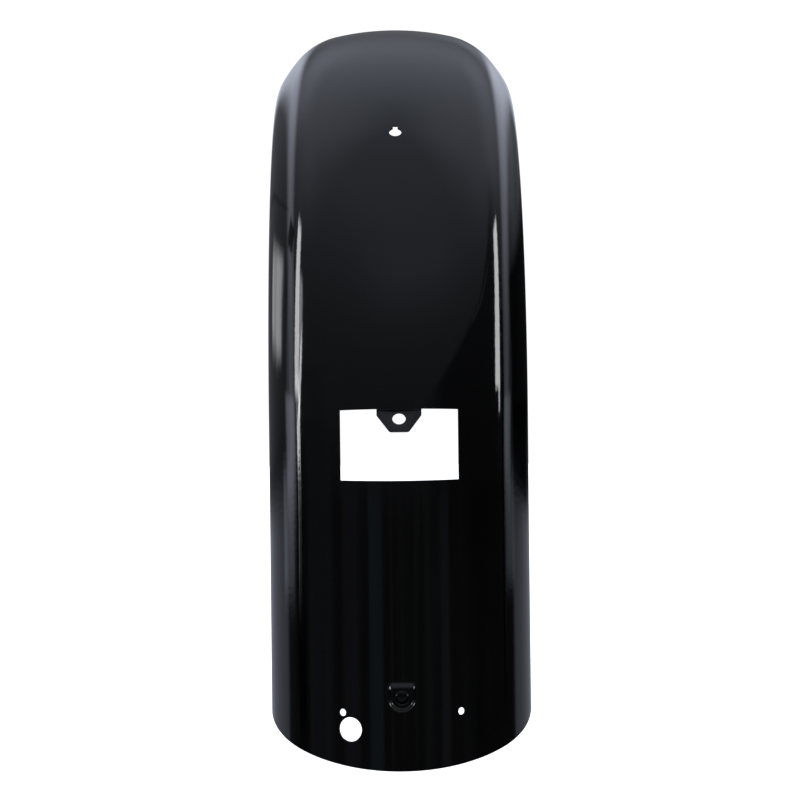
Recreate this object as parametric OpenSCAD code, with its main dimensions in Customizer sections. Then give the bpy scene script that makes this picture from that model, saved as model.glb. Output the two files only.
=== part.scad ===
// Rear fender for a touring motorcycle: one deep pressed steel sheet that runs
// over the wheel and down the tail, with a tail lamp opening, a boss pad and
// punched holes, and the welded brackets and nuts that carry and fasten it.
// All sizes are in millimetres. X is across the wheel, the tail faces -Y, Z is up.

/* [Crown line] */
// Radius of the crown line over the wheel, to the outside of the sheet
arc_r = 335; // [320:1:350]
// Length of the straight tail, from the tip up to where the arc begins
tail_len = 250; // [242:1:270]
// Sweep of the arc from the top of the tail to the front end, in degrees
front_sweep = 115; // [105:1:120]
// Rise of the tail cut towards the front, in degrees
tail_cut_angle = 23; // [18:1:28]

/* [Cross section] */
// Half the width over the skirts
half_w = 97.5; // [95:0.5:100]
// Radius across the crown at the tail
crown_r_tail = 105; // [102:1:112]
// Radius across the crown over the wheel
crown_r_top = 200; // [180:5:240]
// Radius of the shoulders at the tail
shoulder_r_tail = 81; // [76:1:86]
// Radius of the shoulders over the wheel
shoulder_r_top = 67; // [60:1:72]
// Height above the tip where the section starts to change
change_from = 150; // [140:1:160]
// Place on the arc where the section has its upper form, in degrees
change_to_angle = 75; // [68:1:82]
// Thickness of the sheet
wall = 1.6; // [1.2:0.1:2]
// Depth of the skirts below the crown line
skirt_depth = 130; // [126:1:140]
// Radius of the skirt's lower corner at the tail
tail_corner_r = 40; // [30:1:45]
// Radius of the skirt's lower corner at the front
front_corner_r = 30; // [20:1:34]
// Outer radius of the edge that is turned in along each skirt
hem_r = 3.5; // [3:0.5:5]
// Flat width of the turned edge past its bend
hem_lip = 5; // [3:0.5:8]

/* [Lamp opening] */
// Width of the tail lamp opening
lamp_cut_w = 85; // [80:0.5:88]
// Height of the opening at its sides
lamp_cut_h = 50.4; // [46:0.2:56]
// Height of the opening's lower edge above the tip
lamp_cut_up = 209; // [204:1:214]
// How far the upper and lower edges bow out at the middle
lamp_cut_bow = 0.6; // [0.2:0.1:1.5]

/* [Lamp tab] */
// Width of the tab that hangs in the opening
tab_w = 32.4; // [28:0.2:38]
// Length of the tab's tongue below the edge of the opening
tab_len = 17.4; // [15:0.2:19]
// Lean of the tongue towards the rear, in degrees
tab_lean = 28; // [20:1:34]
// Thickness of the tab
tab_t = 2; // [1.5:0.1:2.5]
// Length of the tongue's straight sides
tab_side = 4.2; // [3:0.1:6]
// Width of the tongue's flat end
tab_end_w = 11; // [9:0.2:14]
// Radius of the tongue's corners
tab_corner_r = 2.6; // [1.5:0.1:3.5]
// Radius of the lamp screw hole
tab_hole_r = 4.85; // [4:0.05:5.2]
// Distance of the lamp screw hole below the edge of the opening
tab_hole_down = 7; // [6.4:0.1:8]
// Height of the foot that is welded above the opening
tab_foot_h = 24; // [16:1:30]

/* [Boss pad] */
// Height of the pad's centre above the tip
pad_up = 53; // [48:1:60]
// Width of the pad
pad_w = 20; // [18:0.5:24]
// Distance from the pad's centre to its flat top edge
pad_top = 10.6; // [9.6:0.1:12]
// Radius of the pad's upper corners
pad_corner_r = 3; // [2:0.1:4]
// How far the pad stands out of the sheet
pad_rise = 2.4; // [1.5:0.1:3.5]
// Width of the pad's slope at its top
pad_slope_top = 3.1; // [2:0.1:3.4]
// Width of the pad's slope at its sides
pad_slope_side = 2.4; // [1.5:0.1:2.8]
// Radius of the hole that takes the nut's collar
pad_bore_r = 6.2; // [5.8:0.1:6.6]
// Radius of the flat seat pressed behind the pad
pad_seat_r = 13; // [12.5:0.5:16]
// Thickness of the flat seat behind the sheet
pad_seat_t = 1; // [0.8:0.1:1.5]

/* [Pad nut] */
// Clearance of the nut's collar in its hole
nut_collar_gap = 0.15; // [0.1:0.05:0.3]
// How far the collar stops below the pad's face
nut_collar_drop = 0.7; // [0.4:0.1:1.2]
// Radius of the nut's flange
nut_flange_r = 12; // [11:0.5:12.5]
// Thickness of the nut's flange
nut_flange_t = 2; // [1.5:0.1:3]
// Radius of the nut's closed barrel
nut_barrel_r = 8; // [7:0.5:9]
// Length of the barrel behind the flange
nut_barrel_len = 9; // [7:0.5:14]
// Thickness of the barrel's closed end
nut_end_t = 2; // [1.5:0.1:3]
// Radius of the thread's inner wall
nut_thread_r = 4.25; // [3.8:0.05:4.6]
// Width of the chamfer at the thread's mouth
nut_chamfer = 0.5; // [0.2:0.1:0.8]

/* [Punched holes] */
// Radius of the seat screw hole
seat_hole_r = 4.75; // [4.2:0.05:5.5]
// Place of the seat screw hole on the arc, in degrees
seat_hole_angle = 41; // [36:1:46]
// Width of the key notch at the seat screw hole
seat_notch_w = 3.6; // [3:0.1:4.2]
// How far the key notch reaches past the hole
seat_notch_out = 2.4; // [1.5:0.1:3]
// Radius of the two tip lamp holes
tip_hole_r = 2.65; // [2.2:0.05:3.4]
// Distance of each tip lamp hole from the middle
tip_hole_x = 42.9; // [40:0.1:45]
// Height of the tip lamp holes above the tip
tip_hole_up = 42; // [40:1:48]
// Radius of the wiring hole
wire_hole_r = 8.75; // [7.5:0.25:9.5]
// Distance of the wiring hole from the middle
wire_hole_x = 37.5; // [34:0.5:39]
// Height of the wiring hole above the tip
wire_hole_up = 30; // [27:0.5:31]

/* [Strut plates] */
// Place of the rear strut bolt on the arc, in degrees
strut_rear_angle = 28; // [24:1:34]
// Place of the front strut bolt on the arc, in degrees
strut_front_angle = 72; // [62:1:78]
// Depth of the strut bolts below the crown line
strut_depth = 106; // [104:0.5:108]
// Width of the strut plate
strut_plate_w = 34; // [30:1:38]
// Thickness of the strut plate
strut_plate_t = 3; // [2:0.5:4]
// How far the plate runs past each bolt before its round end, in degrees
strut_plate_past = 3; // [1:0.5:6]
// Radius of the bolt clearance holes
bolt_clear_r = 5.25; // [5:0.05:5.6]

/* [Front plate] */
// Width of the plate across the front end
front_plate_w = 92; // [84:1:96]
// Length of the front plate along the arc, in degrees
front_plate_angle = 7; // [6:0.5:9]
// Distance of the plate from the front end, in degrees
front_plate_back = 1.5; // [1:0.5:3]
// Thickness of the front plate
front_plate_t = 3; // [2:0.5:4]
// Distance of each front bolt from the middle
front_bolt_x = 35; // [28:1:40]

/* [Weld nuts] */
// Width of the nuts across their flats
nut_flats = 17; // [16:0.5:19]
// Height of the nuts
nut_h = 8; // [6:0.5:10]
// Radius of the nuts' threads at their inner wall
bolt_thread_r = 4; // [3.6:0.05:4.3]
// Gap left for the weld where a piece lies on the curved sheet
weld_gap = 0.3; // [0.2:0.05:0.4]

/* [Wire clips] */
// Heights of the wire clips above the tip
clip_ups = [85, 165, 330]; // [80:1:340]
// Place of the wire clips round the section, in degrees
clip_turn = -42; // [-43:1:-36]
// Inner radius of a clip's curl
clip_curl_r = 4.5; // [3.5:0.25:6]
// Thickness of a clip's strip
clip_t = 1.2; // [1:0.1:1.5]
// Width of a clip's strip
clip_w = 10; // [8:0.5:14]
// Length of a clip's welded foot
clip_foot = 13; // [10:0.5:18]
// Opening of the curl, in degrees
clip_mouth = 70; // [50:5:90]

/* [Hidden] */

paint = [0.03, 0.03, 0.04];
zinc = [0.62, 0.63, 0.65];

// Overrun of every cut past the sheet
over = 12;
// Facets of the round parts and steps of the sheet's loft
round_n = 64;
small_n = 32;
crown_steps = 8;
shoulder_steps = 8;
hem_steps = 3;
tail_steps = 8;
upper_tail_steps = 4;
rear_arc_steps = 26;
front_arc_steps = 9;
bow_steps = 12;
plate_steps = 18;

// Top of the arc, in degrees
top_angle = 90;
// Arc length for each degree of sweep
arc_per_degree = arc_r * PI / 180;
change_to = tail_len + change_to_angle * arc_per_degree;

// The box of the whole part, seen from the wheel's centre, gives the origin
tab_root_depth = wall + weld_gap + crown_r_tail - sqrt(pow(crown_r_tail, 2) - pow(tab_w / 2, 2));
tab_proud = tab_len * sin(tab_lean) - tab_root_depth;
front_reach = -arc_r * cos(front_sweep);
axle_y = (arc_r + max(0, tab_proud) - front_reach) / 2;
axle_z = tail_len;

lamp_cut_mid_z = lamp_cut_up + lamp_cut_h / 2 - tail_len;
lamp_cut_top_z = lamp_cut_up + lamp_cut_h - tail_len;

function clamp(t) = min(1, max(0, t));
function ease(t) = t * t * (3 - 2 * t);

// How far the section has changed from its tail form, 0 to 1, at a length along the crown
function changed(s) = ease(clamp((s - change_from) / (change_to - change_from)));
function crown_r(s) = 1 / ((1 - changed(s)) / crown_r_tail + changed(s) / crown_r_top);
function shoulder_r(s) = (1 - changed(s)) * shoulder_r_tail + changed(s) * shoulder_r_top;
// Turn of the section where the crown's radius hands over to the shoulder's
function shoulder_turn(s) = asin((half_w - shoulder_r(s)) / (crown_r(s) - shoulder_r(s)));

// Point of the outer section at a turn from the middle: across, and in from the crown line
function crown_point(s, turn) = [crown_r(s) * sin(turn), crown_r(s) * (1 - cos(turn))];
function shoulder_point(s, turn) =
    let (centre_r = crown_r(s) - shoulder_r(s), from = shoulder_turn(s))
    [centre_r * sin(from) + shoulder_r(s) * sin(turn),
     crown_r(s) - centre_r * cos(from) - shoulder_r(s) * cos(turn)];
function outer_point(s, turn) =
    abs(turn) <= shoulder_turn(s) ? crown_point(s, turn)
    : let (p = shoulder_point(s, abs(turn))) [sign(turn) * p[0], p[1]];

// A point moved in from the outside of the sheet, square to its surface
function moved_in(p, turn, depth) = [p[0] - depth * sin(turn), p[1] + depth * cos(turn)];

// Slope of a section at the tail, so that the first one is the flat tail cut
function section_slope(s) = tan(tail_cut_angle) * (1 - clamp(s / change_from));

// A section's point in space, seen from the wheel's centre
function placed(s, p) =
    s < tail_len ? [p[0], p[1] - arc_r, s - tail_len + p[1] * section_slope(s)]
    : let (angle = (s - tail_len) / arc_per_degree)
      [p[0], -(arc_r - p[1]) * cos(angle), (arc_r - p[1]) * sin(angle)];

// Depth of the skirt's edge, with the round corners at the tail and at the front
tail_corner_depth = skirt_depth - tail_corner_r;
tail_corner_z = tail_corner_depth * tan(tail_cut_angle) + tail_corner_r / cos(tail_cut_angle);
function tail_edge(s) =
    let (slope = section_slope(s), rise = s - tail_corner_z)
    s + skirt_depth * slope >= tail_corner_z ? skirt_depth
    : let (a = 1 + slope * slope,
           b = 2 * (slope * rise - tail_corner_depth),
           c = pow(tail_corner_depth, 2) + rise * rise - pow(tail_corner_r, 2))
      (-b + sqrt(max(0, b * b - 4 * a * c))) / (2 * a);
front_end = tail_len + front_sweep * arc_per_degree;
function front_edge(s) =
    let (back = (front_end - s) * (arc_r - skirt_depth) / arc_r)
    back >= front_corner_r ? skirt_depth
    : skirt_depth - front_corner_r + sqrt(max(0, back * (2 * front_corner_r - back)));
function skirt_edge(s) = s < tail_len ? tail_edge(s) : front_edge(s);

// Half of the outer section from the middle to the lip of the turned edge: point and turn
function half_section(s) =
    let (from = shoulder_turn(s), edge = skirt_edge(s),
         bend = [half_w - hem_r, edge - hem_r])
    [for (i = [0 : crown_steps]) let (turn = from * i / crown_steps) [crown_point(s, turn), turn],
     for (i = [1 : shoulder_steps]) let (turn = from + (90 - from) * i / shoulder_steps)
         [shoulder_point(s, turn), turn],
     for (i = [0 : hem_steps]) let (turn = 90 + 90 * i / hem_steps)
         [bend + hem_r * [sin(turn), -cos(turn)], turn],
     [[half_w - hem_r - hem_lip, edge], 180]];

// Both halves of a section in space, at a depth in from the outside of the sheet
function whole_section(s, depth) =
    let (half = half_section(s), last = len(half) - 1)
    [for (i = [-last : last])
        let (p = moved_in(half[abs(i)][0], half[abs(i)][1], depth), side = i < 0 ? -1 : 1)
        placed(s, [side * p[0], p[1]])];

// Lengths along the crown at which the sheet has a section, closer at the round corners
stations = [
    for (i = [0 : tail_steps - 1]) change_from * pow(i / tail_steps, 2),
    for (i = [0 : upper_tail_steps - 1])
        change_from + (tail_len - change_from) * i / upper_tail_steps,
    for (i = [0 : rear_arc_steps - 1])
        tail_len + top_angle * arc_per_degree * i / rear_arc_steps,
    for (i = [0 : front_arc_steps])
        let (left = 1 - i / front_arc_steps)
        front_end - (front_sweep - top_angle) * arc_per_degree * pow(left, 2)];

// A sheet through rows of outer and inner points, closed along its edges and at both ends
module lofted_sheet(outer_rows, inner_rows) {
    rows = len(outer_rows);
    row_n = len(outer_rows[0]);
    points = [
        for (row = outer_rows) for (p = row) p,
        for (row = inner_rows) for (p = row) p];
    inner = rows * row_n;
    function quad(a, b, c, d) = [[a, b, c], [a, c, d]];
    quads = [
        for (i = [0 : rows - 2]) for (j = [0 : row_n - 2])
            let (k = i * row_n + j)
            each [quad(k, k + row_n, k + row_n + 1, k + 1),
                  quad(inner + k, inner + k + 1, inner + k + row_n + 1, inner + k + row_n)],
        for (i = [0 : rows - 2])
            let (k = i * row_n, m = k + row_n - 1)
            each [quad(k, inner + k, inner + k + row_n, k + row_n),
                  quad(m, m + row_n, inner + m + row_n, inner + m)],
        for (j = [0 : row_n - 2])
            let (m = (rows - 1) * row_n + j)
            each [quad(j, j + 1, inner + j + 1, inner + j),
                  quad(m, inner + m, inner + m + 1, m + 1)]];
    polyhedron(points, [for (q = quads) each q]);
}

// A strip of sheet that follows the fender's surface at a depth, between two turns
module following_strip(from, to, steps, half_width, depth, thickness) {
    lengths = [for (i = [0 : steps]) from + (to - from) * i / steps];
    function strip_row(s, d) =
        [for (j = [-crown_steps : crown_steps])
            let (turn = asin(half_width / crown_r(s)) * j / crown_steps)
            placed(s, moved_in(outer_point(s, turn), turn, d))];
    lofted_sheet([for (s = lengths) strip_row(s, depth)],
        [for (s = lengths) strip_row(s, depth + thickness)]);
}

// Moves children from the wheel's centre, where the crown line is drawn, to the part's frame
module from_axle() {
    translate([0, axle_y, axle_z]) children();
}

// Puts children on the outside of the sheet: Z out of the sheet, Y along the crown line
module on_sheet(s, turn = 0) {
    p = outer_point(s, turn);
    from_axle()
        rotate([-max(0, s - tail_len) / arc_per_degree, 0, 0])
        translate([p[0], p[1] - arc_r, min(0, s - tail_len)])
        rotate([90, 0, turn])
        children();
}

// How far a flat piece of a half width stands off a hollow surface of a radius
function hollow(half_width, r) = pow(half_width, 2) / (2 * r);
function arc_length(angle) = tail_len + angle * arc_per_degree;
// Turn of the section at a distance across the crown
function turn_at(s, x) = asin(x / crown_r(s));

module hole(r) {
    cylinder(h = 2 * over, r = r, center = true, $fn = round_n);
}

// Outline of the lamp opening, with its long edges bowed out
module lamp_opening_outline() {
    function bow(t) = lamp_cut_bow * (1 - t * t);
    polygon([
        for (i = [-bow_steps : bow_steps])
            let (t = i / bow_steps) [t * lamp_cut_w / 2, -lamp_cut_h / 2 - bow(t)],
        for (i = [-bow_steps : bow_steps])
            let (t = -i / bow_steps) [t * lamp_cut_w / 2, lamp_cut_h / 2 + bow(t)]]);
}

// Outline of the boss pad: round below, flat above, about the centre of its hole
module pad_outline(half_width, top, corner) {
    circle(r = half_width, $fn = round_n);
    translate([-half_width, 0]) square([2 * half_width, top - corner]);
    translate([corner - half_width, 0]) square([2 * (half_width - corner), top]);
    for (side = [-1, 1])
        translate([side * (half_width - corner), top - corner])
            circle(r = corner, $fn = small_n);
}

// The pad swells out of the sheet with sloping sides
module pad_swell() {
    face_half = pad_w / 2 - pad_slope_side;
    hull() {
        translate([0, 0, -wall]) linear_extrude(wall / 2)
            pad_outline(pad_w / 2, pad_top, pad_corner_r);
        translate([0, 0, pad_rise / 2]) linear_extrude(pad_rise / 2)
            pad_outline(face_half, pad_top - pad_slope_top, pad_corner_r / 2);
    }
}

module strut_holes() {
    for (angle = [strut_rear_angle, strut_front_angle])
        from_axle() rotate([-angle, 0, 0]) translate([0, strut_depth - arc_r, 0])
            rotate([0, 90, 0])
            cylinder(h = 2 * (half_w + over), r = bolt_clear_r, center = true, $fn = round_n);
}

// The pressed sheet with its pad, opening and holes
module fender_shell() {
    color(paint) difference() {
        union() {
            from_axle() lofted_sheet([for (s = stations) whole_section(s, 0)],
                [for (s = stations) whole_section(s, wall)]);
            on_sheet(pad_up) {
                pad_swell();
                translate([0, 0, -wall - pad_seat_t])
                    cylinder(h = wall / 2 + pad_seat_t, r = pad_seat_r, $fn = round_n);
            }
        }
        from_axle() translate([0, over - arc_r, lamp_cut_mid_z]) rotate([90, 0, 0])
            linear_extrude(2 * over) lamp_opening_outline();
        on_sheet(pad_up) hole(pad_bore_r);
        on_sheet(arc_length(seat_hole_angle)) {
            hole(seat_hole_r);
            translate([-seat_notch_w / 2, 0, -over])
                cube([seat_notch_w, seat_hole_r + seat_notch_out, 2 * over]);
        }
        for (side = [-1, 1])
            on_sheet(tip_hole_up, turn_at(tip_hole_up, side * tip_hole_x)) hole(tip_hole_r);
        on_sheet(wire_hole_up, turn_at(wire_hole_up, -wire_hole_x)) hole(wire_hole_r);
        strut_holes();
        front_bolt_places() hole(bolt_clear_r);
    }
}

// Outline of the tab's tongue, hanging from its root at the edge of the opening
module tongue_outline() {
    r = tab_corner_r;
    hull() {
        for (side = [-1, 1]) {
            translate([side * (tab_w / 2 - r), 0]) square([2 * r, 2 * tab_t], center = true);
            translate([side * (tab_w / 2 - r), -tab_side + r / 2]) circle(r = r, $fn = small_n);
            translate([side * tab_end_w / 2, r - tab_len]) circle(r = r, $fn = small_n);
        }
    }
}

// The lamp tab: a curved foot behind the sheet and a tongue that leans out of the opening
module lamp_tab() {
    foot_from = tail_len + lamp_cut_top_z;
    color(paint) difference() {
        union() {
            from_axle() following_strip(foot_from, foot_from + tab_foot_h, crown_steps,
                tab_w / 2, wall + weld_gap, tab_t);
            tongue_frame() translate([0, 0, -tab_t]) linear_extrude(tab_t) tongue_outline();
        }
        tongue_frame() translate([0, -tab_hole_down, 0]) hole(tab_hole_r);
    }
}

// The tongue's own frame: its root at the edge of the opening, Z out of its rear face
module tongue_frame() {
    from_axle() translate([0, tab_root_depth - arc_r, lamp_cut_top_z])
        rotate([90 - tab_lean, 0, 0]) children();
}

// The closed nut behind the boss pad, with its collar in the pad's hole
module pad_nut() {
    collar_top = pad_rise - nut_collar_drop;
    seat = -wall - pad_seat_t;
    barrel_end = seat - nut_flange_t - nut_barrel_len;
    color(zinc) on_sheet(pad_up) difference() {
        union() {
            translate([0, 0, seat])
                cylinder(h = collar_top - seat, r = pad_bore_r - nut_collar_gap, $fn = round_n);
            translate([0, 0, seat - nut_flange_t])
                cylinder(h = nut_flange_t, r = nut_flange_r, $fn = round_n);
            translate([0, 0, barrel_end])
                cylinder(h = nut_flange_t + nut_barrel_len, r = nut_barrel_r, $fn = round_n);
        }
        translate([0, 0, barrel_end + nut_end_t])
            cylinder(h = collar_top - barrel_end, r = nut_thread_r, $fn = round_n);
        translate([0, 0, collar_top - nut_chamfer])
            cylinder(h = 2 * nut_chamfer, r1 = nut_thread_r, r2 = nut_thread_r + 2 * nut_chamfer,
                $fn = round_n);
    }
}

// Side view of a strut plate: a band along the skirt with round ends
module strut_plate_outline() {
    mid_r = arc_r - strut_depth;
    end_r = strut_plate_w / 2;
    first = strut_rear_angle - strut_plate_past;
    last = strut_front_angle + strut_plate_past;
    // A point at a radius and an angle up the arc, and one on a round end about such a point
    function at(r, angle) = r * [-cos(angle), sin(angle)];
    function end_point(angle, turn) = at(mid_r, angle) + at(end_r, angle + turn);
    polygon([
        for (i = [0 : plate_steps]) at(mid_r + end_r, first + (last - first) * i / plate_steps),
        for (i = [1 : plate_steps - 1]) end_point(last, 180 * i / plate_steps),
        for (i = [0 : plate_steps]) at(mid_r - end_r, last + (first - last) * i / plate_steps),
        for (i = [1 : plate_steps - 1]) end_point(first, 180 + 180 * i / plate_steps)]);
}

// The plate that stiffens a skirt where the struts bolt on, flat against its inside
module strut_plate() {
    color(paint) difference() {
        from_axle() translate([half_w - wall - strut_plate_t, 0, 0]) rotate([90, 0, 90])
            linear_extrude(strut_plate_t) strut_plate_outline();
        strut_holes();
    }
}

module left_strut_plate() {
    mirror([1, 0, 0]) strut_plate();
}

module right_strut_plate() {
    strut_plate();
}

front_plate_to = front_end - front_plate_back * arc_per_degree;
front_plate_from = front_plate_to - front_plate_angle * arc_per_degree;
front_bolt_s = (front_plate_from + front_plate_to) / 2;

// Puts children on the outside of the sheet at each front bolt
module front_bolt_places() {
    for (side = [-1, 1])
        on_sheet(front_bolt_s, turn_at(front_bolt_s, side * front_bolt_x)) children();
}

// The plate that stiffens the crown's front end, behind the sheet
module front_plate() {
    color(paint) difference() {
        from_axle() following_strip(front_plate_from, front_plate_to, hem_steps,
            front_plate_w / 2, wall + weld_gap, front_plate_t);
        front_bolt_places() hole(bolt_clear_r);
    }
}

nut_corner_r = nut_flats / 2 / cos(30);
front_nut_depth = wall + front_plate_t + 2 * weld_gap + nut_h
    + hollow(nut_corner_r, crown_r(front_bolt_s) - wall - front_plate_t);

module weld_nut() {
    difference() {
        cylinder(h = nut_h, r = nut_corner_r, $fn = 6);
        translate([0, 0, -over]) cylinder(h = nut_h + 2 * over, r = bolt_thread_r, $fn = round_n);
    }
}

// The six nuts welded behind the strut plates and the front plate
module weld_nuts() {
    color(zinc) {
        for (side = [-1, 1]) for (angle = [strut_rear_angle, strut_front_angle])
            from_axle() rotate([-angle, 0, 0])
                translate([side * (half_w - wall - strut_plate_t), strut_depth - arc_r, 0])
                rotate([0, -side * 90, 0]) weld_nut();
        front_bolt_places() translate([0, 0, -front_nut_depth]) weld_nut();
    }
}

// Side view of a wire clip: a flat foot and a curl that is open towards the foot
module clip_outline() {
    outer_r = clip_curl_r + clip_t;
    translate([-clip_foot / 2, -clip_t]) square([clip_foot, clip_t]);
    translate([-clip_foot / 2, -outer_r]) difference() {
        circle(r = outer_r, $fn = small_n);
        circle(r = clip_curl_r, $fn = small_n);
        polygon([[0, 0], 2 * outer_r * [cos(clip_mouth), sin(clip_mouth)],
            2 * outer_r * [1, 0]]);
    }
}

// How far the changing section draws the sheet in or out over half of a clip's width
function drift(s) =
    let (shift = outer_point(s + clip_w / 2, clip_turn) - outer_point(s, clip_turn))
    abs(shift * [-sin(clip_turn), cos(clip_turn)]);
// Depth of a clip's flat foot, whose two ends lie near the hollow side of the sheet
function clip_depth(s) = wall + weld_gap + drift(s)
    + hollow(clip_foot / 2, shoulder_r(s) - wall) + hollow(clip_w / 2, arc_r);

// The spot-welded clips that hold the lamp wiring inside the sheet
module wire_clips() {
    color(paint) for (up = clip_ups)
        on_sheet(up, clip_turn) translate([0, clip_w / 2, -clip_depth(up)]) rotate([90, 0, 0])
            linear_extrude(clip_w) clip_outline();
}

fender_shell();
lamp_tab();
pad_nut();
left_strut_plate();
right_strut_plate();
front_plate();
weld_nuts();
wire_clips();
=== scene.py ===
# Rear fender for a touring motorcycle, dressed for its picture: one deep pressed
# steel sheet in gloss black, with its lamp tab, closed nut, plates, weld nuts and clips.
# Metres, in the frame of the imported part: X is across the wheel, the tail faces -Y, Z is up.
import math

import bpy
from mathutils import Matrix, Vector


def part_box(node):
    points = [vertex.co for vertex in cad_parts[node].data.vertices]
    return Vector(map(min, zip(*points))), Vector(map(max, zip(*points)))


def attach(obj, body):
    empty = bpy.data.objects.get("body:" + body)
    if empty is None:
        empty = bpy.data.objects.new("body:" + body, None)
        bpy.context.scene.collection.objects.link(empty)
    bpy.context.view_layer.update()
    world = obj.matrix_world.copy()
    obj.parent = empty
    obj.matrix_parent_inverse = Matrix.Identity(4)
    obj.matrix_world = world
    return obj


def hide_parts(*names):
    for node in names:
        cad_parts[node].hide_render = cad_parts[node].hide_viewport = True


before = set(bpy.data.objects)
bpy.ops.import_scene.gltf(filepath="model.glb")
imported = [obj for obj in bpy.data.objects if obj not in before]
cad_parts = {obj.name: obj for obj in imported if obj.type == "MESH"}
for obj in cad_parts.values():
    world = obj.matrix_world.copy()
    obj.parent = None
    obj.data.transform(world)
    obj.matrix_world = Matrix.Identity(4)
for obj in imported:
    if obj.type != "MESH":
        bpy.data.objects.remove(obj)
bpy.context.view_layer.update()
bpy.ops.object.select_all(action="DESELECT")

# Camera: a long lens low behind the tail and a little to the left of its middle.
# It stands level with the lamp opening and is turned a hair up, right and round.
camera_place = (-0.008694, -1.935783, 0.240197)
camera_lens_mm = 106.63
camera_sensor_mm = 36
camera_pitch = 0.881
camera_yaw = -0.322
camera_roll = -0.642
camera_data = bpy.data.cameras.new("camera")
camera_data.lens = camera_lens_mm
camera_data.sensor_width = camera_sensor_mm
camera = bpy.data.objects.new("camera", camera_data)
bpy.context.scene.collection.objects.link(camera)
camera.matrix_world = (
    Matrix.Translation(camera_place)
    @ Matrix.Rotation(math.radians(camera_yaw), 4, "Z")
    @ Matrix.Rotation(math.radians(90 + camera_pitch), 4, "X")
    @ Matrix.Rotation(math.radians(camera_roll), 4, "Z")
)
bpy.context.scene.camera = camera
bpy.context.scene.view_settings.view_transform = "Standard"

# Studio: a dim room with soft lights, which the paint mirrors. Each light is a patch of the
# room at a bearing from the camera's side (right is positive) and a height, in degrees.
# What the camera sees past the fender is plain white.
room_tones = (
    (-60, (0.300, 0.306, 0.320)),
    (-22, (0.260, 0.266, 0.280)),
    (-13, (0.028, 0.028, 0.031)),
    (-2, (0.026, 0.026, 0.029)),
    (-0.5, (0.110, 0.116, 0.130)),
    (18, (0.145, 0.153, 0.172)),
    (31, (0.205, 0.215, 0.250)),
    (45, (0.290, 0.305, 0.360)),
    (62, (0.390, 0.420, 0.490)),
    (90, (0.410, 0.455, 0.540)),
)
strip_white = (1.00, 1.01, 1.03)
panel_blue = (0.88, 0.95, 1.14)
cloth_teal = (0.42, 0.72, 1.00)
cloth_green = (0.60, 1.00, 0.70)
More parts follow.
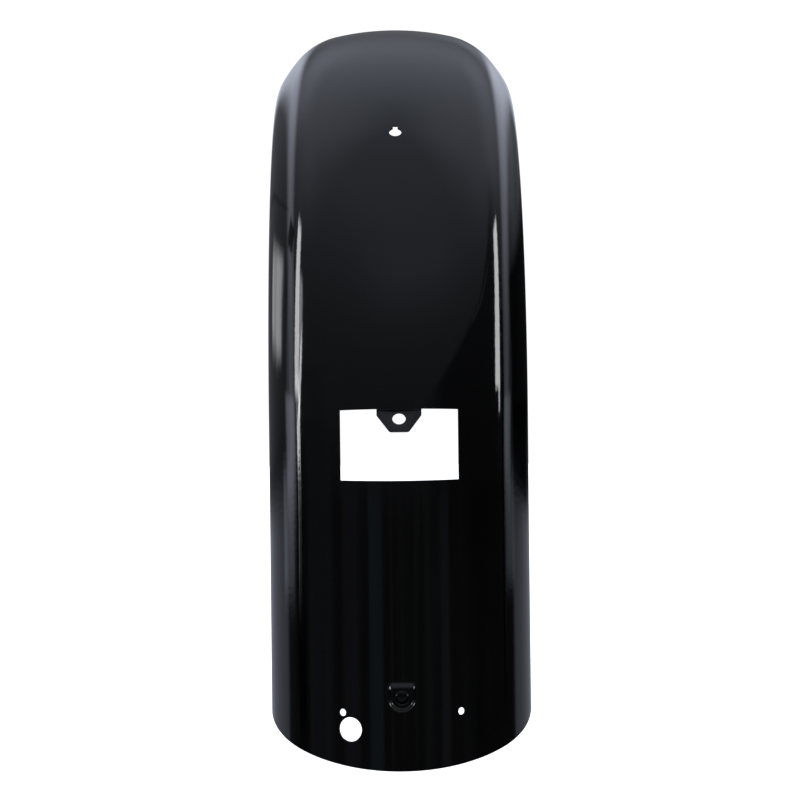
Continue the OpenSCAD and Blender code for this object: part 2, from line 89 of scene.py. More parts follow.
# name, bearing, half width, height, half height, height where it starts to bow, bow, slope
# and taper with bearing, softness across and up, light, colour
panels = (
    ("left_strip", -91.2, 3.1, 17.6, 14.2, 8, 0.0125, 0.0, 0.0, 1.0, 3.4, 8.0, strip_white),
    ("left_strip_side", -86.4, 2.8, 17.0, 7.0, 12, 0.0200, 0.0, 0.0, 3.0, 4.0, 3.2, strip_white),
    ("left_line", -86.4, 2.4, 6.0, 4.0, 5, 0.0, -2.57, 0.0, 0.8, 1.6, 8.0, strip_white),
    ("left_line_low", -89.6, 2.6, -0.2, 1.4, 5, 0.0, -1.04, 0.0, 0.8, 0.7, 8.0, strip_white),
    ("left_line_haze", -90.4, 2.4, 2.4, 4.2, 5, 0.0, 0.0, 0.0, 1.2, 1.2, 1.6, strip_white),
    ("right_strip", 88.5, 3.5, 17.2, 12.8, 5, 0.0200, 0.0, 0.0, 0.7, 1.6, 8.0, strip_white),
    ("right_strip_toe", 90.4, 1.0, 2.6, 2.0, 5, 0.0, 0.0, 0.0, 0.8, 1.2, 6.0, strip_white),
    ("left_foot", -102.6, 5.6, 9.0, 11.0, 5, 0.0, 0.0, 0.0, 4.0, 6.0, 0.28, panel_blue),
    ("left_foot_low", -102.8, 7.6, 0.2, 2.4, 5, 0.0, 0.0, 0.0, 6.0, 1.4, 0.95, panel_blue),
    ("right_foot_low", 103.5, 5.6, 0.2, 2.2, 5, 0.0, 0.0, 0.0, 3.0, 1.4, 0.50, panel_blue),
    ("left_window", -131.0, 12.5, 9.3, 4.4, 5, 0.0, -0.18, -0.125, 5.0, 3.2, 1.2, strip_white),
    ("left_window_near", -123.5, 6.5, 10.3, 5.0, 5, 0.0, -0.18, 0.0, 7.0, 3.2, 0.8, strip_white),
    ("left_floor_near", -109.0, 9.5, -2.6, 1.1, 5, 0.0, 0.0, 0.0, 5.0, 0.8, 0.55, panel_blue),
    ("right_floor_near", 108.0, 7.6, -2.6, 0.9, 5, 0.0, 0.0, 0.0, 7.0, 0.8, 0.38, panel_blue),
    ("left_floor", -143.0, 32.0, -6.5, 4.6, 5, 0.0, 0.0, 0.0, 6.0, 1.6, 0.33, panel_blue),
    ("right_floor", 145.0, 31.0, -6.5, 4.6, 5, 0.0, 0.0, 0.0, 9.0, 1.6, 0.28, panel_blue),
    ("left_high", -150.0, 62.0, 60.0, 22.0, 5, 0.0, 0.0, 0.0, 50.0, 26.0, 0.24, panel_blue),
    ("right_high", 150.0, 72.0, 60.0, 22.0, 5, 0.0, 0.0, 0.0, 50.0, 26.0, 0.24, panel_blue),
    ("right_inside", 150.0, 24.0, 22.0, 5.0, 5, 0.0, 0.0, 0.0, 12.0, 7.0, 0.14, panel_blue),
    ("left_glow", -150.0, 18.0, 38.0, 8.0, 5, 0.0, 0.0, 0.0, 24.0, 12.0, 0.15, panel_blue),
    ("right_glow", 134.0, 26.0, 37.0, 8.0, 5, 0.0, 0.0, 0.0, 24.0, 12.0, 0.18, panel_blue),
    ("front_glow", 16.0, 38.0, 42.0, 8.0, 5, 0.0, 0.0, 0.0, 50.0, 24.0, 0.09, panel_blue),
    ("right_edge", 72.0, 11.0, 24.6, 0.5, 5, 0.0, 0.30, 0.0, 6.0, 0.9, 0.12, strip_white),
    ("left_low_lamp", -68.0, 13.0, -31.0, 5.0, 5, 0.0, 0.0, 0.0, 3.0, 3.0, 7.0, strip_white),
    ("right_low_lamp", 68.0, 13.0, -31.0, 5.0, 5, 0.0, 0.0, 0.0, 3.0, 3.0, 7.0, strip_white),
    ("cloth_middle", 0.0, 58.0, -6.6, 5.2, 5, 0.0, 0.0, 0.0, 16.0, 1.6, 0.020, strip_white),
    ("cloth_teal", -20.5, 5.2, -6.6, 5.2, 5, 0.0, 0.0, 0.0, 2.5, 1.6, 0.115, cloth_teal),
    ("cloth_thread", -7.5, 1.0, -6.6, 5.2, 5, 0.0, 0.0, 0.0, 1.0, 1.6, 0.030, strip_white),
    ("cloth_green", 21.5, 2.4, -6.6, 5.2, 5, 0.0, 0.0, 0.0, 2.5, 1.6, 0.040, cloth_green),
    ("cloth_fold", 36.5, 3.6, -6.6, 5.2, 5, 0.0, 0.0, 0.0, 3.0, 1.6, 0.060, panel_blue),
    ("cloth_side", -41.0, 7.0, -6.6, 5.2, 5, 0.0, 0.0, 0.0, 5.0, 1.6, 0.045, panel_blue),
    ("cloth_far", -69.0, 12.0, -6.6, 5.2, 5, 0.0, 0.0, 0.0, 8.0, 1.6, 0.060, panel_blue),
)
# Dark stands take light away, in the same columns but for the share of light kept
dark_stands = (
    ("right_dark_front", 64.0, 36.0, 10.6, 12.6, 5, 0.0, 0.20, 0.20, 24.0, 3.0, 0.34),
    ("right_dark_core", 147.0, 35.0, 4.8, 6.2, 5, 0.0, -0.09, -0.09, 4.0, 4.0, 0.08),
    ("left_dark_front", -74.0, 12.0, 4.0, 7.0, 5, 0.0, 0.0, 0.0, 10.0, 8.0, 0.85),
)
# Small dark things that stand before the lights, in the same columns
dark_things = (
    ("left_gap", -109.5, 4.2, 24.2, 2.4, 5, 0.0, -0.15, 0.0, 2.0, 1.6, 0.12),
    ("left_edge", -138.0, 20.0, 16.6, 0.3, 5, 0.0, -0.42, 0.0, 4.0, 0.9, 0.55),
    ("left_line_end", -89.5, 5.0, -4.3, 2.6, 5, 0.0, 0.0, 0.0, 1.0, 0.5, 0.12),
    ("right_shelf", 134.0, 19.0, -0.5, 1.3, 5, 0.0, 0.0, 0.0, 4.0, 0.6, 0.12),
    ("right_post", 96.4, 1.8, 4.0, 11.0, 5, 0.0150, 0.0, 0.0, 1.6, 3.0, 0.10),
)
# A bright arch on each side, the pair of them turned and rolled a little: bearing and
# height of the middle, inner half width and height, outer edge as a share of the inner,
# tilt, softness, light at the foot and at the top, the heights between which it grows,
# and how far below level it is cut off
arch_middle = 139.8
arch_turn = 1.2
arch_roll = 0.0136
arch_foot = -2.85
arch_half_width = 35.0
arch_half_height = 27.8
arch_outer = 1.24
arch_tilt = 0.13
arch_softness = 0.17
arch_light = 0.52
arch_light_top = 0.86
arch_grows_from = 14.0
arch_grows_to = 22.0
arch_floor_gap = 1.6
# Things on the floor behind the camera show as faint upright streaks in the tail
clutter_top = -1.6
clutter_light = 0.05
clutter_tint = (0.70, 0.95, 1.00)
clutter_across = 0.11
clutter_up = 0.10
clutter_from = 0.52
clutter_to = 0.80
backdrop_light = 1.05

world = bpy.data.worlds.new("studio")
bpy.context.scene.world = world
world.use_nodes = True
world_tree = world.node_tree
world_tree.nodes.clear()


def add_node(tree, kind, inputs=None, **settings):
    """A node with its settings and inputs; an input is a value or another node's output."""
    made = tree.nodes.new(kind)
    for key, value in settings.items():
        setattr(made, key, value)
    for key, value in (inputs or {}).items():
        if isinstance(value, bpy.types.NodeSocket):
            tree.links.new(value, made.inputs[key])
        else:
            made.inputs[key].default_value = value
    return made


def maths(tree, operation, *values):
    """One sum on values or other nodes' outputs."""
    made = add_node(tree, "ShaderNodeMath", dict(enumerate(values)), operation=operation)
    return made.outputs[0]


def below(tree, value, limit, softness):
    """1 where a value is below its limit and 0 above it, with a soft change."""
    step = add_node(
        tree, "ShaderNodeMapRange",
        {"Value": value, "From Min": limit + softness / 2, "From Max": limit - softness / 2},
        interpolation_type="SMOOTHSTEP",
    )
    return step.outputs["Result"]


def patch_cover(tree, middle, half, up, half_up, bow_from, bow, slope, taper, soft_across, soft_up):
    """1 inside a patch of the room and 0 outside it."""
    side = math.copysign(1, middle)
    past = maths(tree, "MULTIPLY_ADD", bearing, side, -abs(middle))
    if bow:
        raised = maths(tree, "MAXIMUM", maths(tree, "SUBTRACT", height, bow_from), 0.0)
        past = maths(tree, "MULTIPLY_ADD", maths(tree, "MULTIPLY", raised, raised), -bow, past)
    over = maths(tree, "SUBTRACT", height, up)
    sloped = maths(tree, "ABSOLUTE", maths(tree, "MULTIPLY_ADD", past, -slope, over))
    tapered = maths(tree, "MULTIPLY_ADD", past, -taper, sloped)
    return maths(
        tree, "MULTIPLY",
        below(tree, maths(tree, "ABSOLUTE", past), half, soft_across),
        below(tree, tapered, half_up, soft_up),
    )


def shaded(tree, light_so_far, share, *shape):
    """The light so far, cut to a share of itself inside a patch."""
    covered = maths(tree, "MULTIPLY", patch_cover(tree, *shape), 1.0 - share)
    return add_node(
        tree, "ShaderNodeVectorMath",
        {0: light_so_far, "Scale": maths(tree, "SUBTRACT", 1.0, covered)}, operation="SCALE",
    ).outputs["Vector"]


def lit(tree, light_so_far, tint, light, cover):
    """The light so far, with a tinted light added where its cover is."""
    added = add_node(
        tree, "ShaderNodeVectorMath",
        {0: tuple(light * part for part in tint), 1: cover, 2: light_so_far},
        operation="MULTIPLY_ADD",
    )
    return added.outputs["Vector"]


direction = add_node(world_tree, "ShaderNodeTexCoord").outputs["Generated"]
parts_of_direction = add_node(world_tree, "ShaderNodeSeparateXYZ", {"Vector": direction})
towards_camera = maths(world_tree, "MULTIPLY", parts_of_direction.outputs["Y"], -1.0)
bearing = maths(
    world_tree, "DEGREES",
    maths(world_tree, "ARCTAN2", parts_of_direction.outputs["X"], towards_camera),
)
height = maths(world_tree, "DEGREES", maths(world_tree, "ARCSINE", parts_of_direction.outputs["Z"]))
room_ramp = add_node(
    world_tree, "ShaderNodeValToRGB",
    {"Fac": maths(world_tree, "DIVIDE", maths(world_tree, "ADD", height, 90.0), 180.0)},
)
while len(room_ramp.color_ramp.elements) < len(room_tones):
    room_ramp.color_ramp.elements.new(1.0)
for element, (degrees_up, tone) in zip(room_ramp.color_ramp.elements, room_tones):
    element.position = (degrees_up + 90) / 180
    element.color = (*tone, 1.0)
light_sum = room_ramp.outputs["Color"]
for _, *shape, share in dark_stands:
    light_sum = shaded(world_tree, light_sum, share, *shape)
arch_side = maths(world_tree, "ABSOLUTE", maths(world_tree, "SUBTRACT", bearing, arch_turn))
arch_past = maths(world_tree, "SUBTRACT", arch_side, arch_middle)
arch_up = maths(
    world_tree, "MULTIPLY_ADD", arch_past, arch_tilt,
    maths(world_tree, "MULTIPLY_ADD", bearing, arch_roll,
          maths(world_tree, "SUBTRACT", height, arch_foot)))
arch_out = add_node(
    world_tree, "ShaderNodeVectorMath",
    {0: add_node(world_tree, "ShaderNodeCombineXYZ", {
        "X": maths(world_tree, "DIVIDE", arch_past, arch_half_width),
        "Y": maths(world_tree, "DIVIDE", arch_up, arch_half_height)}).outputs["Vector"]},
    operation="LENGTH",
).outputs["Value"]
arch_cover = maths(
    world_tree, "MULTIPLY",
    maths(world_tree, "SUBTRACT", 1.0, below(world_tree, arch_out, 1.0, arch_softness)),
    below(world_tree, arch_out, arch_outer, arch_softness),
)
above_floor = below(world_tree, maths(world_tree, "MULTIPLY", height, -1.0), arch_floor_gap, 1.0)
arch_strength = add_node(
    world_tree, "ShaderNodeMapRange",
    {"Value": height, "From Min": arch_grows_from, "From Max": arch_grows_to,
     "To Min": arch_light, "To Max": arch_light_top},
).outputs["Result"]
light_sum = lit(world_tree, light_sum, panel_blue, 1.0, maths(
    world_tree, "MULTIPLY", maths(world_tree, "MULTIPLY", arch_cover, above_floor), arch_strength))
for _, *shape, light, tint in panels:
    light_sum = lit(world_tree, light_sum, tint, light, patch_cover(world_tree, *shape))
for _, *shape, share in dark_things:
    light_sum = shaded(world_tree, light_sum, share, *shape)
clutter = add_node(
    world_tree, "ShaderNodeTexNoise",
    {"Vector": add_node(world_tree, "ShaderNodeCombineXYZ", {
        "X": maths(world_tree, "MULTIPLY", bearing, clutter_across),
        "Y": maths(world_tree, "MULTIPLY", height, clutter_up)}).outputs["Vector"],
     "Scale": 1.0, "Detail": 3.0, "Roughness": 0.55})
clutter_share = add_node(
    world_tree, "ShaderNodeMapRange",
    {"Value": clutter.outputs["Fac"], "From Min": clutter_from, "From Max": clutter_to})
clutter_cover = maths(world_tree, "MULTIPLY", clutter_share.outputs["Result"],
                      below(world_tree, height, clutter_top, 1.0))
light_sum = lit(world_tree, light_sum, clutter_tint, clutter_light, clutter_cover)
room_light = add_node(world_tree, "ShaderNodeBackground", {"Color": light_sum, "Strength": 1.0})
backdrop = add_node(
    world_tree, "ShaderNodeBackground", {"Color": (1, 1, 1, 1), "Strength": backdrop_light})
seen_by_camera = add_node(world_tree, "ShaderNodeLightPath").outputs["Is Camera Ray"]
world_mix = add_node(
    world_tree, "ShaderNodeMixShader",
    {0: seen_by_camera, 1: room_light.outputs[0], 2: backdrop.outputs[0]},
)
add_node(world_tree, "ShaderNodeOutputWorld", {"Surface": world_mix.outputs[0]})

# Floor: a pale matt floor well below the part, which hangs on its struts in use,
# and a very wide soft lamp above that lights it evenly without showing in the paint.
floor_drop = 0.26
floor_half = 40.0
bpy.ops.mesh.primitive_plane_add(size=2 * floor_half, location=(0, 0, -floor_drop))
floor = bpy.context.object
floor.name = "floor"
bpy.ops.object.transform_apply(location=True, rotation=True, scale=True)
floor.visible_glossy = False
floor_material = bpy.data.materials.new("floor_matt")
floor_material.use_nodes = True
floor_shader = floor_material.node_tree.nodes["Principled BSDF"]
floor_shader.inputs["Base Color"].default_value = (0.94, 0.94, 0.94, 1)
floor_shader.inputs["Roughness"].default_value = 0.9
floor_shader.inputs["Specular IOR Level"].default_value = 0.0
floor.data.materials.append(floor_material)
lamp_angle = 120
lamp_strength = 4.0
bpy.ops.object.light_add(type="SUN", location=(0, 0, 3))
floor_lamp = bpy.context.object
floor_lamp.name = "floor_lamp"
floor_lamp.data.energy = lamp_strength
floor_lamp.data.angle = math.radians(lamp_angle)
floor_lamp.visible_glossy = False
bpy.ops.object.select_all(action="DESELECT")

# Fender sheet: 1.6 mm steel pressed in one piece, nearly half round at the tail and
# flat-crowned over the wheel, with a flat band along each shoulder and its skirt edges
# turned in. Its holes are punched after pressing, then it is sprayed gloss black.
arc_radius = 0.335
tail_length = 0.250
front_sweep = 115
tail_cut_angle = 23
half_width = 0.0975
crown_radius_tail = 0.105
crown_radius_top = 0.230
shoulder_radius_tail = 0.081
shoulder_radius_top = 0.0585
band_from = math.radians(50)
band_to = math.radians(57.5)
band_radius = 0.150
bend_radius = 0.040
change_from = 0.150
change_to_angle = 92
wall = 0.0016
skirt_depth = 0.130
tail_corner = 0.040
front_corner = 0.030
hem_radius = 0.0035
hem_lip = 0.005
pad_up = 0.053
pad_rise = 0.0024
pad_half = 0.010
pad_top = 0.0106
pad_corner = 0.003
pad_slope_top = 0.0031
pad_slope_side = 0.0024
pad_crease = 0.4
pad_depth = 0.002
pad_bore = 0.0062
pad_seat = 0.013
pad_seat_thick = 0.001
opening_width = 0.085
opening_height = 0.0504
opening_up = 0.209
opening_bow = 0.0006
seat_hole = 0.00475
seat_hole_angle = 41
seat_notch_width = 0.0036
seat_notch_out = 0.0024
tip_hole = 0.00265
tip_hole_x = 0.0429
tip_hole_up = 0.042
wire_hole = 0.00875
wire_hole_x = 0.0375
wire_hole_up = 0.030
bolt_hole = 0.00525
strut_angles = (28, 72)
strut_depth = 0.106
front_bolt_x = 0.035
front_bolt_back = 5.0
edge_round = 0.0004
edge_sharp_angle = 50
smooth_angle = 32
cutter_reach = 0.020
cutter_sides = 64

arc_per_degree = math.radians(arc_radius)
change_to = tail_length + change_to_angle * arc_per_degree
front_end = tail_length + front_sweep * arc_per_degree
axle = Vector((0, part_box("fender_shell")[0][1] + arc_radius + pad_rise, tail_length))


def clamp(t):
    return min(1.0, max(0.0, t))


def ease(t):
    return t * t * (3 - 2 * t)


def section_arcs(s):
    """Radius and end turn of a half section's arcs: crown, shoulder, band and bend."""
    share = ease(clamp((s - change_from) / (change_to - change_from)))
    crown = 1 / ((1 - share) / crown_radius_tail + share / crown_radius_top)
    shoulder = (1 - share) * shoulder_radius_tail + share * shoulder_radius_top
    band = 1 / ((1 - share) / shoulder + share / band_radius)
    bend = (1 - share) * shoulder + share * bend_radius
    beyond_crown = (shoulder * math.sin(band_from) + bend * (1 - math.sin(band_to))
                    + band * (math.sin(band_to) - math.sin(band_from)))
    handover = math.asin((half_width - beyond_crown) / (crown - shoulder))
    return (crown, handover), (shoulder, band_from), (band, band_to), (bend, math.pi / 2)


def crown_point(s, turn):
    """Outer point across and in from the crown line, at a turn from the middle."""
    across = depth = last = 0.0
    for radius, end in section_arcs(s):
        stop = max(last, min(abs(turn), end))
        across += radius * (math.sin(stop) - math.sin(last))
        depth += radius * (math.cos(last) - math.cos(stop))
        last = stop
    return math.copysign(across, turn), depth


def section_slope(s):
    """Rise of a section for each step in, which fades out above the slanted tail cut."""
    return math.tan(math.radians(tail_cut_angle)) * (1 - clamp(s / change_from))


def placed(s, across, depth):
    """A section's point in the part's frame."""
    if s < tail_length:
        return axle + Vector((across, depth - arc_radius, s - tail_length + depth * section_slope(s)))
    angle = math.radians((s - tail_length) / arc_per_degree)
    radius = arc_radius - depth
    return axle + Vector((across, -radius * math.cos(angle), radius * math.sin(angle)))


def skirt_edge(s):
    """Depth of the skirt's edge, with its round corners at the tail and the front."""
    if s >= tail_length:
        back = (front_end - s) * (arc_radius - skirt_depth) / arc_radius
        if back >= front_corner:
            return skirt_depth
        return skirt_depth - front_corner + math.sqrt(max(0, back * (2 * front_corner - back)))
    cut = math.radians(tail_cut_angle)
    corner_depth = skirt_depth - tail_corner
    corner_up = corner_depth * math.tan(cut) + tail_corner / math.cos(cut)
    slope, rise = section_slope(s), s - corner_up
    if s + skirt_depth * slope >= corner_up:
        return skirt_depth
    a = 1 + slope * slope
    b = 2 * (slope * rise - corner_depth)
    c = corner_depth ** 2 + rise * rise - tail_corner ** 2
    return (-b + math.sqrt(max(0, b * b - 4 * a * c))) / (2 * a)


def spaced(start, end, count, power=1.0):
    return [start + (end - start) * (i / count) ** power for i in range(count)]


# Close rows and columns run through the pad, and near the cut ends
pad_rows_from = 0.0415
pad_rows_to = 0.066
front_rows = 0.060
crowding = 1.6
stations = (
    spaced(0, pad_rows_from, 16, crowding) + spaced(pad_rows_from, pad_rows_to, 34)
    + spaced(pad_rows_to, tail_length, 44) + spaced(tail_length, front_end - front_rows, 150)
    + [front_end - front_rows * (1 - i / 24) ** crowding for i in range(25)]
)
pad_share = 0.15
crown_shares = spaced(0, pad_share, 15) + spaced(pad_share, 1, 16)
shoulder_shares = spaced(0, 1, 12)
band_shares = spaced(0, 1, 6)
bend_shares = spaced(0, 1, 12)
skirt_shares = spaced(0, 1, 5)
hem_turns = spaced(90, 180, 6) + [180]


def half_section(s):
    """Half of the outer section: across, depth and turn of each point, middle to lip."""
    edge = skirt_edge(s)
    quarter = math.pi / 2
    turns = []
    last = 0.0
    for (_, end), shares in zip(
            section_arcs(s), (crown_shares, shoulder_shares, band_shares, bend_shares)):
        turns += [last + (end - last) * share for share in shares]
        last = end
    row = [(*crown_point(s, turn), turn) for turn in turns]
    skirt_top = crown_point(s, quarter)[1]
    row += [(half_width, skirt_top + (edge - hem_radius - skirt_top) * share, quarter)
            for share in skirt_shares]
    for degrees in hem_turns:
        turn = math.radians(degrees)
        row.append((half_width - hem_radius + hem_radius * math.sin(turn),
                    edge - hem_radius - hem_radius * math.cos(turn), turn))
    row.append((half_width - hem_radius - hem_lip, edge, math.pi))
    return row


def pad_outline_gap(across, up, half, top, corner):
    """Distance from the pad's outline, negative inside: round below and flat above."""
    if up <= 0:
        return math.hypot(across, up) - half
    over_x, over_y = abs(across) - (half - corner), up - (top - corner)
    return math.hypot(max(over_x, 0), max(over_y, 0)) + min(max(over_x, over_y), 0) - corner


def pad_swell(across, up):
    """Share of the pad's rise at a place on the sheet, seen from the pad's centre."""
    outside = -pad_outline_gap(across, up, pad_half, pad_top, pad_corner)
    face = pad_outline_gap(
        across, up, pad_half - pad_slope_side, pad_top - pad_slope_top, pad_corner / 2)
    if outside <= 0:
        return 0.0
    if face <= 0:
        return 1.0
    share = outside / (outside + face)
    return pad_crease * share + (1 - pad_crease) * ease(share)


def sheet_points(depth, with_pad):
    """Every point of the sheet's surface at a depth below its outside, row by row."""
    points = []
    for s in stations:
        half = half_section(s)
        last = len(half) - 1
        for i in range(-last, last + 1):
            across, inwards, turn = half[abs(i)]
            across, inwards = across - depth * math.sin(turn), inwards + depth * math.cos(turn)
            point = placed(s, math.copysign(across, i), inwards)
            if with_pad and inwards < pad_depth and abs(s - pad_up) < 2 * pad_half:
                share = pad_swell(point.x, point.z - pad_up)
                point.y += (axle.y - arc_radius - pad_rise - point.y) * share
            points.append(point)
    return points


def on_sheet(s, turn=0.0):
    """Places a thing on the outside of the sheet: Z out of it, Y along the crown line."""
    across, depth = crown_point(s, turn)
    angle = math.radians(max(0, s - tail_length) / arc_per_degree)
    return (
        Matrix.Translation(axle) @ Matrix.Rotation(-angle, 4, "X")
        @ Matrix.Translation((across, depth - arc_radius, min(0, s - tail_length)))
        @ Matrix.Rotation(turn, 4, "Z") @ Matrix.Rotation(math.pi / 2, 4, "X")
    )


def turn_at(s, across):
    """Turn of the crown's arc at a distance across from the middle."""
    return math.asin(across / section_arcs(s)[0][0])


def arc_length(angle):
    """Length along the crown line to an angle round the wheel."""
    return tail_length + angle * arc_per_degree


row_length = len(half_section(0)) * 2 - 1
bpy.ops.mesh.primitive_grid_add(
    x_subdivisions=row_length - 1, y_subdivisions=len(stations) - 1, size=1)
shell = bpy.context.object
shell.name = "fender_sheet"
outer_points = sheet_points(0, True)
for vertex, point in zip(shell.data.vertices, outer_points):
    vertex.co = point
bpy.ops.object.mode_set(mode="EDIT")
bpy.ops.mesh.select_all(action="SELECT")
bpy.ops.mesh.duplicate()
bpy.ops.mesh.flip_normals()
bpy.ops.object.mode_set(mode="OBJECT")
for vertex, point in zip(shell.data.vertices[len(outer_points):], sheet_points(wall, False)):
    vertex.co = point
bpy.ops.object.mode_set(mode="EDIT")
bpy.ops.mesh.select_all(action="DESELECT")
bpy.ops.mesh.select_mode(type="EDGE")
bpy.ops.mesh.select_non_manifold()
bpy.ops.mesh.bridge_edge_loops()
bpy.ops.mesh.select_all(action="SELECT")
bpy.ops.mesh.normals_make_consistent(inside=False)
bpy.ops.mesh.select_all(action="DESELECT")
bpy.ops.mesh.edges_select_sharp(sharpness=math.radians(edge_sharp_angle))
bpy.ops.mesh.bevel(offset=edge_round, segments=2, affect="EDGES")
bpy.ops.mesh.select_mode(type="VERT")
bpy.ops.object.mode_set(mode="OBJECT")


def round_cutter(place, radius, reach=cutter_reach):
    bpy.ops.mesh.primitive_cylinder_add(vertices=cutter_sides, radius=radius, depth=2 * reach)
    bpy.context.object.matrix_world = place
    return bpy.context.object


def combine(body, tool, operation):
    """Joins a tool to a body, or cuts it away, and deletes the tool."""
    change = body.modifiers.new("combine", "BOOLEAN")
    change.operation = operation
    change.object = tool
    change.solver = "MANIFOLD"
    bpy.ops.object.select_all(action="DESELECT")
    bpy.context.view_layer.objects.active = body
    bpy.ops.object.modifier_apply(modifier=change.name)
    bpy.data.objects.remove(tool, do_unlink=True)


seat_disc = round_cutter(
    on_sheet(pad_up) @ Matrix.Translation((0, 0, -wall / 2 - (wall / 2 + pad_seat_thick) / 2)),
    pad_seat, (wall / 2 + pad_seat_thick) / 2)
combine(shell, seat_disc, "UNION")

bpy.ops.mesh.primitive_grid_add(x_subdivisions=24, y_subdivisions=1, size=1)
opening_cutter = bpy.context.object
for vertex in opening_cutter.data.vertices:
    share = vertex.co.x * 2
    side = math.copysign(1, vertex.co.y)
    vertex.co = (share * opening_width / 2,
                 side * (opening_height / 2 + opening_bow * (1 - share * share)), 0)
bpy.ops.object.mode_set(mode="EDIT")
bpy.ops.mesh.select_all(action="SELECT")
bpy.ops.mesh.extrude_region_move(TRANSFORM_OT_translate={"value": (0, 0, 2 * cutter_reach)})
bpy.ops.mesh.select_all(action="SELECT")
bpy.ops.mesh.normals_make_consistent(inside=False)
bpy.ops.object.mode_set(mode="OBJECT")
opening_cutter.matrix_world = (
    Matrix.Translation(axle)
    @ Matrix.Translation((0, cutter_reach - arc_radius, opening_up + opening_height / 2 - tail_length))
    @ Matrix.Rotation(math.pi / 2, 4, "X"))
combine(shell, opening_cutter, "DIFFERENCE")

front_bolt_s = front_end - front_bolt_back * arc_per_degree
hole_places = [
    (on_sheet(pad_up), pad_bore),
    (on_sheet(arc_length(seat_hole_angle)), seat_hole),
    (on_sheet(wire_hole_up, turn_at(wire_hole_up, -wire_hole_x)), wire_hole),
]
for side in (-1, 1):
    hole_places.append((on_sheet(tip_hole_up, turn_at(tip_hole_up, side * tip_hole_x)), tip_hole))
    hole_places.append((on_sheet(front_bolt_s, turn_at(front_bolt_s, side * front_bolt_x)), bolt_hole))
    for angle in strut_angles:
        hole_places.append((
            Matrix.Translation(axle) @ Matrix.Rotation(-math.radians(angle), 4, "X")
            @ Matrix.Translation((side * half_width, strut_depth - arc_radius, 0))
            @ Matrix.Rotation(math.pi / 2, 4, "Y"), bolt_hole))
for place, radius in hole_places:
    combine(shell, round_cutter(place, radius), "DIFFERENCE")
notch_reach = seat_hole + seat_notch_out
bpy.ops.mesh.primitive_cube_add(size=1)
notch_cutter = bpy.context.object
notch_cutter.matrix_world = (
    on_sheet(arc_length(seat_hole_angle)) @ Matrix.Translation((0, notch_reach / 2, 0))
    @ Matrix.Diagonal((seat_notch_width, notch_reach, 2 * cutter_reach, 1)))
combine(shell, notch_cutter, "DIFFERENCE")
bpy.ops.object.select_all(action="DESELECT")
shell.select_set(True)
bpy.context.view_layer.objects.active = shell
bpy.ops.object.shade_smooth_by_angle(angle=math.radians(smooth_angle))

gloss_paint = bpy.data.materials.new("gloss_black_paint")
gloss_paint.use_nodes = True
paint_tree = gloss_paint.node_tree
paint_shader = paint_tree.nodes["Principled BSDF"]
paint_place = add_node(paint_tree, "ShaderNodeTexCoord").outputs["Object"]
peel = add_node(paint_tree, "ShaderNodeTexNoise",
                {"Vector": paint_place, "Scale": 260.0, "Detail": 2.0, "Roughness": 0.4})
peel_bump = add_node(paint_tree, "ShaderNodeBump",
                     {"Height": peel.outputs["Fac"], "Strength": 0.02, "Distance": 0.0006})
haze = add_node(paint_tree, "ShaderNodeTexNoise",
                {"Vector": paint_place, "Scale": 24.0, "Detail": 6.0, "Roughness": 0.6})
haze_range = add_node(paint_tree, "ShaderNodeMapRange",
                      {"Value": haze.outputs["Fac"], "From Min": 0.3, "From Max": 0.7,
                       "To Min": 0.035, "To Max": 0.075})
tone_ramp = add_node(paint_tree, "ShaderNodeValToRGB", {"Fac": haze.outputs["Fac"]})
tone_ramp.color_ramp.elements[0].color = (0.00012, 0.00012, 0.00016, 1)
tone_ramp.color_ramp.elements[1].color = (0.00040, 0.00040, 0.00050, 1)
paint_tree.links.new(tone_ramp.outputs["Color"], paint_shader.inputs["Base Color"])
paint_tree.links.new(haze_range.outputs["Result"], paint_shader.inputs["Roughness"])
paint_tree.links.new(peel_bump.outputs["Normal"], paint_shader.inputs["Normal"])
paint_shader.inputs["IOR"].default_value = 1.5
shell.data.materials.clear()
shell.data.materials.append(gloss_paint)
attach(shell, "root")
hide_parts("fender_shell")

# Lamp tab: a lug of 2 mm strip welded behind the top of the opening, which leans back
# and holds the tail lamp's screw. It is sprayed with the sheet, thinner and less glossy.
tab_edge_soft = 0.00035
merge_gap = 0.00001
flat_angle = 1
bevel_angle = 38


def rounded_copy(node_name, paint, edge):
    """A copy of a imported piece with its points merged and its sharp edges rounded."""
    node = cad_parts[node_name]
    piece = bpy.data.objects.new(node_name + "_dressed", node.data.copy())
    bpy.context.scene.collection.objects.link(piece)
    piece.matrix_world = node.matrix_world
    bpy.ops.object.select_all(action="DESELECT")
    piece.select_set(True)
    bpy.context.view_layer.objects.active = piece
    bpy.ops.object.transform_apply(location=True, rotation=True, scale=True)
    bpy.ops.object.mode_set(mode="EDIT")
    bpy.ops.mesh.select_all(action="SELECT")
    bpy.ops.mesh.remove_doubles(threshold=merge_gap)
    bpy.ops.mesh.dissolve_limited(angle_limit=math.radians(flat_angle))
    bpy.ops.mesh.normals_make_consistent(inside=False)
    bpy.ops.mesh.select_all(action="DESELECT")
    bpy.ops.mesh.select_mode(type="EDGE")
    bpy.ops.mesh.edges_select_sharp(sharpness=math.radians(bevel_angle))
    bpy.ops.mesh.bevel(offset=edge, segments=2, affect="EDGES", clamp_overlap=True)
    bpy.ops.mesh.select_mode(type="VERT")
    bpy.ops.object.mode_set(mode="OBJECT")
    bpy.ops.object.shade_smooth_by_angle(angle=math.radians(smooth_angle))
    piece.data.materials.clear()
    piece.data.materials.append(paint)
    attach(piece, "root")
    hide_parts(node_name)
    return piece


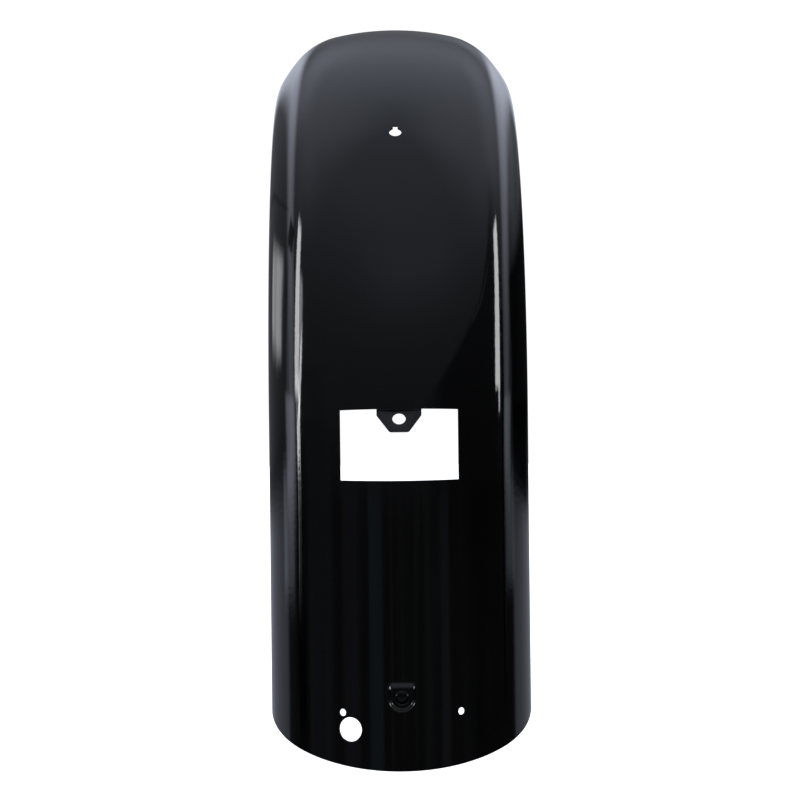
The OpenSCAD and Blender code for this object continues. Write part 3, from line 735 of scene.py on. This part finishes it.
bracket_paint = bpy.data.materials.new("bracket_paint")
bracket_paint.use_nodes = True
bracket_tree = bracket_paint.node_tree
bracket_shader = bracket_tree.nodes["Principled BSDF"]
bracket_place = add_node(bracket_tree, "ShaderNodeTexCoord").outputs["Object"]
spray = add_node(bracket_tree, "ShaderNodeTexNoise",
                 {"Vector": bracket_place, "Scale": 420.0, "Detail": 3.0, "Roughness": 0.5})
spray_bump = add_node(bracket_tree, "ShaderNodeBump",
                      {"Height": spray.outputs["Fac"], "Strength": 0.06, "Distance": 0.0004})
thin = add_node(bracket_tree, "ShaderNodeTexNoise",
                {"Vector": bracket_place, "Scale": 70.0, "Detail": 5.0, "Roughness": 0.6})
thin_range = add_node(bracket_tree, "ShaderNodeMapRange",
                      {"Value": thin.outputs["Fac"], "From Min": 0.3, "From Max": 0.7,
                       "To Min": 0.10, "To Max": 0.24})
thin_ramp = add_node(bracket_tree, "ShaderNodeValToRGB", {"Fac": thin.outputs["Fac"]})
thin_ramp.color_ramp.elements[0].color = (0.0016, 0.0016, 0.0022, 1)
thin_ramp.color_ramp.elements[1].color = (0.0040, 0.0040, 0.0052, 1)
bracket_tree.links.new(thin_ramp.outputs["Color"], bracket_shader.inputs["Base Color"])
bracket_tree.links.new(thin_range.outputs["Result"], bracket_shader.inputs["Roughness"])
bracket_tree.links.new(spray_bump.outputs["Normal"], bracket_shader.inputs["Normal"])
bracket_shader.inputs["IOR"].default_value = 1.5
lamp_tab = rounded_copy("lamp_tab", bracket_paint, tab_edge_soft)

# Pad nut: a closed steel nut with a flange, clenched into the bore of the pad from inside
# before painting, so that its collar carries the same gloss black as the sheet.
nut_edge_soft = 0.00045
pad_nut = rounded_copy("pad_nut", gloss_paint, nut_edge_soft)

# Strut plates: a long 3 mm plate inside each skirt, welded on, which spreads the load
# of the two bolts that hold the fender between the frame's struts.
plate_edge_soft = 0.0004
for node_name in ("left_strut_plate", "right_strut_plate"):
    strut_plate = rounded_copy(node_name, bracket_paint, plate_edge_soft)

# Front plate: a short 3 mm plate bent to the sheet and welded inside its front end,
# where two bolts hold the fender to the frame behind the seat.
front_plate = rounded_copy("front_plate", bracket_paint, plate_edge_soft)

# Weld nuts: square zinc plated steel nuts, pressed and tapped, welded behind the bolt
# holes of the plates. The zinc is bright, with fine grain and duller patches.
nut_zinc = bpy.data.materials.new("nut_steel")
nut_zinc.use_nodes = True
nut_tree = nut_zinc.node_tree
nut_shader = nut_tree.nodes["Principled BSDF"]
nut_shader.inputs["Metallic"].default_value = 1.0
nut_place = add_node(nut_tree, "ShaderNodeTexCoord").outputs["Object"]
nut_grain = add_node(nut_tree, "ShaderNodeTexNoise",
                     {"Vector": nut_place, "Scale": 900.0, "Detail": 4.0, "Roughness": 0.6})
nut_ramp = add_node(nut_tree, "ShaderNodeValToRGB", {"Fac": nut_grain.outputs["Fac"]})
nut_ramp.color_ramp.elements[0].color = (0.36, 0.36, 0.37, 1)
nut_ramp.color_ramp.elements[1].color = (0.60, 0.60, 0.61, 1)
nut_rough = add_node(nut_tree, "ShaderNodeMapRange",
                     {"Value": nut_grain.outputs["Fac"], "To Min": 0.28, "To Max": 0.52})
nut_bump = add_node(nut_tree, "ShaderNodeBump",
                    {"Height": nut_grain.outputs["Fac"], "Strength": 0.10, "Distance": 0.0002})
nut_tree.links.new(nut_ramp.outputs["Color"], nut_shader.inputs["Base Color"])
nut_tree.links.new(nut_rough.outputs["Result"], nut_shader.inputs["Roughness"])
nut_tree.links.new(nut_bump.outputs["Normal"], nut_shader.inputs["Normal"])
weld_nuts = rounded_copy("weld_nuts", nut_zinc, nut_edge_soft)

# Wire clips: three narrow straps of 1.2 mm steel, curled over and spot welded along the
# inside of the sheet, which hold the lamp's wiring. They carry the thin black paint.
clip_edge_soft = 0.0003
wire_clips = rounded_copy("wire_clips", bracket_paint, clip_edge_soft)
